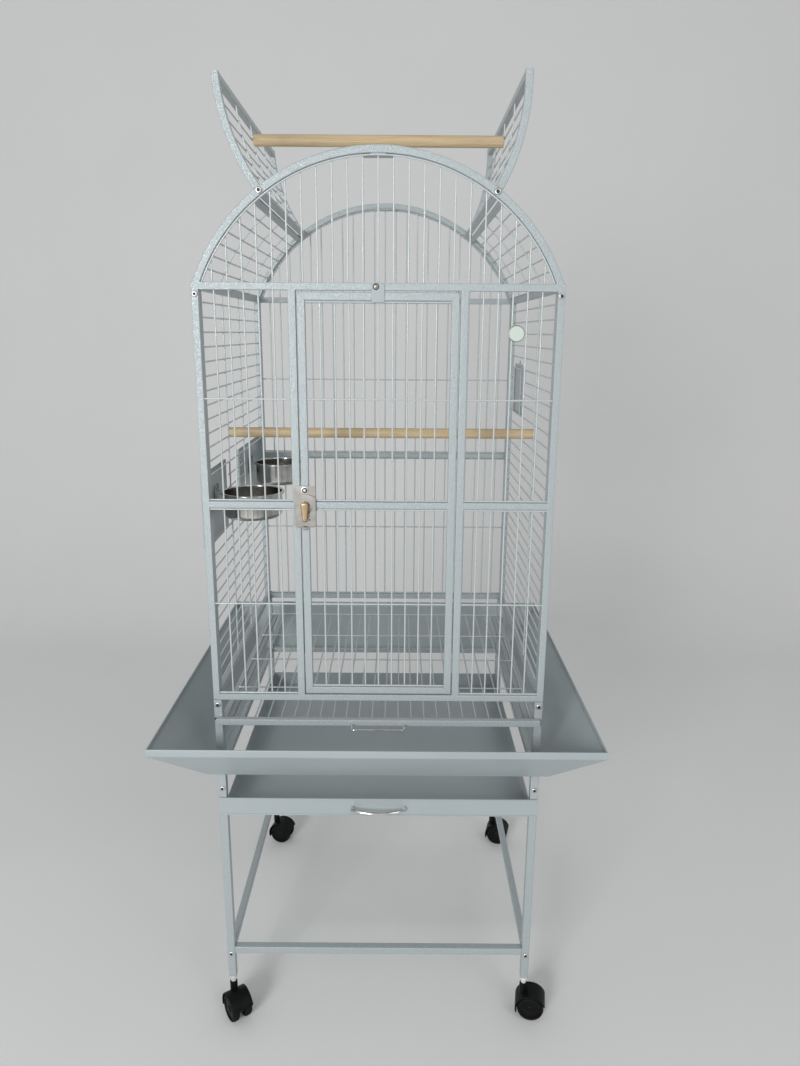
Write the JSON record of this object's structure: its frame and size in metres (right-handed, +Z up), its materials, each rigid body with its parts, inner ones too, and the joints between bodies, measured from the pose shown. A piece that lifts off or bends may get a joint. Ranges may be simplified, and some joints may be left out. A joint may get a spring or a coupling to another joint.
{
  "type": "bird cage",
  "caption": "Tall arched wire bird cage on a wheeled stand, with an opening play-top roof, perch, front door, swing-out feeders, grate, tray and seed skirt.",
  "frame": {"origin": "on the floor, under the middle of the cage", "axes": "+Z up, -Y out of the front door, +X to the right of someone facing the front"},
  "size_m": [0.6734, 0.6604, 1.4677],
  "materials": {
    "badge": "blank pale green disc",
    "caster_hood_front_left": "black moulded plastic",
    "caster_hood_front_right": "black moulded plastic",
    "caster_hood_rear_left": "black moulded plastic",
    "caster_hood_rear_right": "black moulded plastic",
    "caster_socket_front_left": "white moulded plastic",
    "caster_socket_front_right": "white moulded plastic",
    "caster_socket_rear_left": "white moulded plastic",
    "caster_socket_rear_right": "white moulded plastic",
    "caster_wheels_front_left": "black moulded plastic",
    "caster_wheels_front_right": "black moulded plastic",
    "caster_wheels_rear_left": "black moulded plastic",
    "caster_wheels_rear_right": "black moulded plastic",
    "cup_front": "polished stainless steel",
    "cup_rear": "polished stainless steel",
    "cup_ring_front": "zinc-plated steel",
    "cup_ring_rear": "zinc-plated steel",
    "door": "light grey-blue hammered powder coat",
    "door_pin_lower": "zinc-plated steel",
    "door_pin_upper": "zinc-plated steel",
    "door_stop_tab": "zinc-plated steel",
    "feeder_door_front": "smooth pale grey powder coat on sheet steel",
    "feeder_door_rear": "smooth pale grey powder coat on sheet steel",
    "flap_pivot_front_left": "zinc-plated steel",
    "flap_pivot_front_right": "zinc-plated steel",
    "flap_pivot_rear_left": "zinc-plated steel",
    "flap_pivot_rear_right": "zinc-plated steel",
    "front_panel": "light grey-blue hammered powder coat",
    "grate": "light grey-blue hammered powder coat",
    "grate_handle": "polished stainless steel",
    "hatch_button": "zinc-plated steel",
    "left_panel": "light grey-blue hammered powder coat",
    "lock_base": "zinc-plated steel",
    "lock_cover": "zinc-plated steel",
    "lock_knob": "aged brass",
    "lock_tongue": "zinc-plated steel",
    "perch_inner": "unfinished pine dowel",
    "perch_top": "unfinished pine dowel",
    "rear_panel": "light grey-blue hammered powder coat",
    "right_panel": "light grey-blue hammered powder coat",
    "roof_flap_left": "light grey-blue hammered powder coat",
    "roof_flap_right": "light grey-blue hammered powder coat",
    "roof_side_left": "light grey-blue hammered powder coat",
    "roof_side_right": "light grey-blue hammered powder coat",
    "side_hatch": "smooth pale grey powder coat on sheet steel",
    "skirt_front": "smooth pale grey powder coat on sheet steel",
    "skirt_left": "smooth pale grey powder coat on sheet steel",
    "skirt_rear": "smooth pale grey powder coat on sheet steel",
    "skirt_right": "smooth pale grey powder coat on sheet steel",
    "stand_rail_front_lower": "light grey-blue hammered powder coat",
    "stand_rail_front_upper": "light grey-blue hammered powder coat",
    "stand_rail_rear_lower": "light grey-blue hammered powder coat",
    "stand_rail_rear_upper": "light grey-blue hammered powder coat",
    "stand_side_left": "light grey-blue hammered powder coat",
    "stand_side_right": "light grey-blue hammered powder coat",
    "tray": "smooth pale grey powder coat on sheet steel",
    "tray_handle": "polished stainless steel"
  },
  "bodies": {
    "cage": {"badge": "badge", "caster_socket_front_left": "caster_socket_front_left", "caster_socket_front_right": "caster_socket_front_right", "caster_socket_rear_left": "caster_socket_rear_left", "caster_socket_rear_right": "caster_socket_rear_right", "door_pin_lower": "door_pin_lower", "door_pin_upper": "door_pin_upper", "flap_pivot_front_left": "flap_pivot_front_left", "flap_pivot_front_right": "flap_pivot_front_right", "flap_pivot_rear_left": "flap_pivot_rear_left", "flap_pivot_rear_right": "flap_pivot_rear_right", "front_panel": "front_panel", "left_panel": "left_panel", "perch_inner": "perch_inner", "rear_panel": "rear_panel", "right_panel": "right_panel", "roof_side_left": "roof_side_left", "roof_side_right": "roof_side_right", "skirt_front": "skirt_front", "skirt_left": "skirt_left", "skirt_rear": "skirt_rear", "skirt_right": "skirt_right", "stand_rail_front_lower": "stand_rail_front_lower", "stand_rail_front_upper": "stand_rail_front_upper", "stand_rail_rear_lower": "stand_rail_rear_lower", "stand_rail_rear_upper": "stand_rail_rear_upper", "stand_side_left": "stand_side_left", "stand_side_right": "stand_side_right"},
    "door": {"door": "door", "lock_base": "lock_base", "lock_cover": "lock_cover", "door_stop_tab": "door_stop_tab"},
    "lock_knob": {"lock_knob": "lock_knob", "lock_tongue": "lock_tongue"},
    "roof_flap_left": {"roof_flap_left": "roof_flap_left"},
    "roof_flap_right": {"roof_flap_right": "roof_flap_right"},
    "perch_top": {"perch_top": "perch_top"},
    "feeder_front": {"feeder_door_front": "feeder_door_front", "cup_ring_front": "cup_ring_front"},
    "feeder_rear": {"feeder_door_rear": "feeder_door_rear", "cup_ring_rear": "cup_ring_rear"},
    "cup_front": {"cup_front": "cup_front"},
    "cup_rear": {"cup_rear": "cup_rear"},
    "side_hatch": {"side_hatch": "side_hatch"},
    "hatch_button": {"hatch_button": "hatch_button"},
    "grate": {"grate": "grate", "grate_handle": "grate_handle"},
    "tray": {"tray": "tray", "tray_handle": "tray_handle"},
    "swivel_front_left": {"caster_hood_front_left": "caster_hood_front_left"},
    "wheels_front_left": {"caster_wheels_front_left": "caster_wheels_front_left"},
    "swivel_front_right": {"caster_hood_front_right": "caster_hood_front_right"},
    "wheels_front_right": {"caster_wheels_front_right": "caster_wheels_front_right"},
    "swivel_rear_left": {"caster_hood_rear_left": "caster_hood_rear_left"},
    "wheels_rear_left": {"caster_wheels_rear_left": "caster_wheels_rear_left"},
    "swivel_rear_right": {"caster_hood_rear_right": "caster_hood_rear_right"},
    "wheels_rear_right": {"caster_wheels_rear_right": "caster_wheels_rear_right"}
  },
  "joints": [
    {"name": "door_hinge", "type": "hinge", "parent": "cage", "child": "door", "pos_m": [0.108, -0.2445, 0.8945], "axis": [0, 0, 1], "range_deg": [0, 110]},
    {"name": "lock_turn", "type": "hinge", "parent": "door", "child": "lock_knob", "pos_m": [-0.1055, -0.2475, 0.895], "axis": [0, 1, 0], "range_deg": [0, 90]},
    {"name": "flap_left_hinge", "type": "hinge", "parent": "cage", "child": "roof_flap_left", "pos_m": [-0.15726, 0, 1.31795], "axis": [0, 1, 0], "range_deg": [0, 91]},
    {"name": "flap_right_hinge", "type": "hinge", "parent": "cage", "child": "roof_flap_right", "pos_m": [0.15726, 0, 1.31795], "axis": [0, -1, 0], "range_deg": [0, 84.6]},
    {"name": "perch_lift", "type": "slide", "parent": "cage", "child": "perch_top", "axis": [0, 0, 1], "range_m": [0, 0.64]},
    {"name": "feeder_front_hinge", "type": "hinge", "parent": "cage", "child": "feeder_front", "pos_m": [-0.2568, -0.2345, 0.87985], "axis": [0, 0, 1], "range_deg": [0, 100]},
    {"name": "feeder_rear_hinge", "type": "hinge", "parent": "cage", "child": "feeder_rear", "pos_m": [-0.2568, 0.027, 0.87985], "axis": [0, 0, 1], "range_deg": [0, 100]},
    {"name": "cup_front_lift", "type": "slide", "parent": "feeder_front", "child": "cup_front", "axis": [0, 0, 1], "range_m": [0, 0.05]},
    {"name": "cup_rear_lift", "type": "slide", "parent": "feeder_rear", "child": "cup_rear", "axis": [0, 0, 1], "range_m": [0, 0.05]},
    {"name": "hatch_hinge", "type": "hinge", "parent": "cage", "child": "side_hatch", "pos_m": [0.25305, 0.136, 0.9911], "axis": [0, 1, 0], "range_deg": [0, 150]},
    {"name": "button_turn", "type": "hinge", "parent": "side_hatch", "child": "hatch_button", "pos_m": [0.25205, 0.136, 1.0746], "axis": [1, 0, 0], "range_deg": [-90, 90]},
    {"name": "grate_slide", "type": "slide", "parent": "cage", "child": "grate", "axis": [0, -1, 0], "range_m": [0, 0.4]},
    {"name": "tray_slide", "type": "slide", "parent": "cage", "child": "tray", "axis": [0, -1, 0], "range_m": [0, 0.42]},
    {"name": "swivel_front_left", "type": "hinge", "parent": "cage", "child": "swivel_front_left", "pos_m": [-0.24765, -0.24115, 0.06], "axis": [0, 0, 1], "continuous": true},
    {"name": "roll_front_left", "type": "hinge", "parent": "swivel_front_left", "child": "wheels_front_left", "pos_m": [-0.23991, -0.25221, 0.0225], "axis": [0.8192, 0.5736, 0], "continuous": true},
    {"name": "swivel_front_right", "type": "hinge", "parent": "cage", "child": "swivel_front_right", "pos_m": [0.24765, -0.24115, 0.06], "axis": [0, 0, 1], "continuous": true},
    {"name": "roll_front_right", "type": "hinge", "parent": "swivel_front_right", "child": "wheels_front_right", "pos_m": [0.26094, -0.24349, 0.0225], "axis": [0.1736, 0.9848, 0], "continuous": true},
    {"name": "swivel_rear_left", "type": "hinge", "parent": "cage", "child": "swivel_rear_left", "pos_m": [-0.24765, 0.24115, 0.06], "axis": [0, 0, 1], "continuous": true},
    {"name": "roll_rear_left", "type": "hinge", "parent": "swivel_rear_left", "child": "wheels_rear_left", "pos_m": [-0.23461, 0.23766, 0.0225], "axis": [0.2588, 0.9659, 0], "continuous": true},
    {"name": "swivel_rear_right", "type": "hinge", "parent": "cage", "child": "swivel_rear_right", "pos_m": [0.24765, 0.24115, 0.06], "axis": [0, 0, 1], "continuous": true},
    {"name": "roll_rear_right", "type": "hinge", "parent": "swivel_rear_right", "child": "wheels_rear_right", "pos_m": [0.26069, 0.23766, 0.0225], "axis": [0.2588, 0.9659, 0], "continuous": true}
  ],
  "couplings": [
    {"joint": "flap_right_hinge", "follows": "flap_left_hinge", "ratio": 0.92857},
    {"joint": "perch_lift", "follows": "flap_left_hinge", "m_per_rad": 0.4}
  ]
}
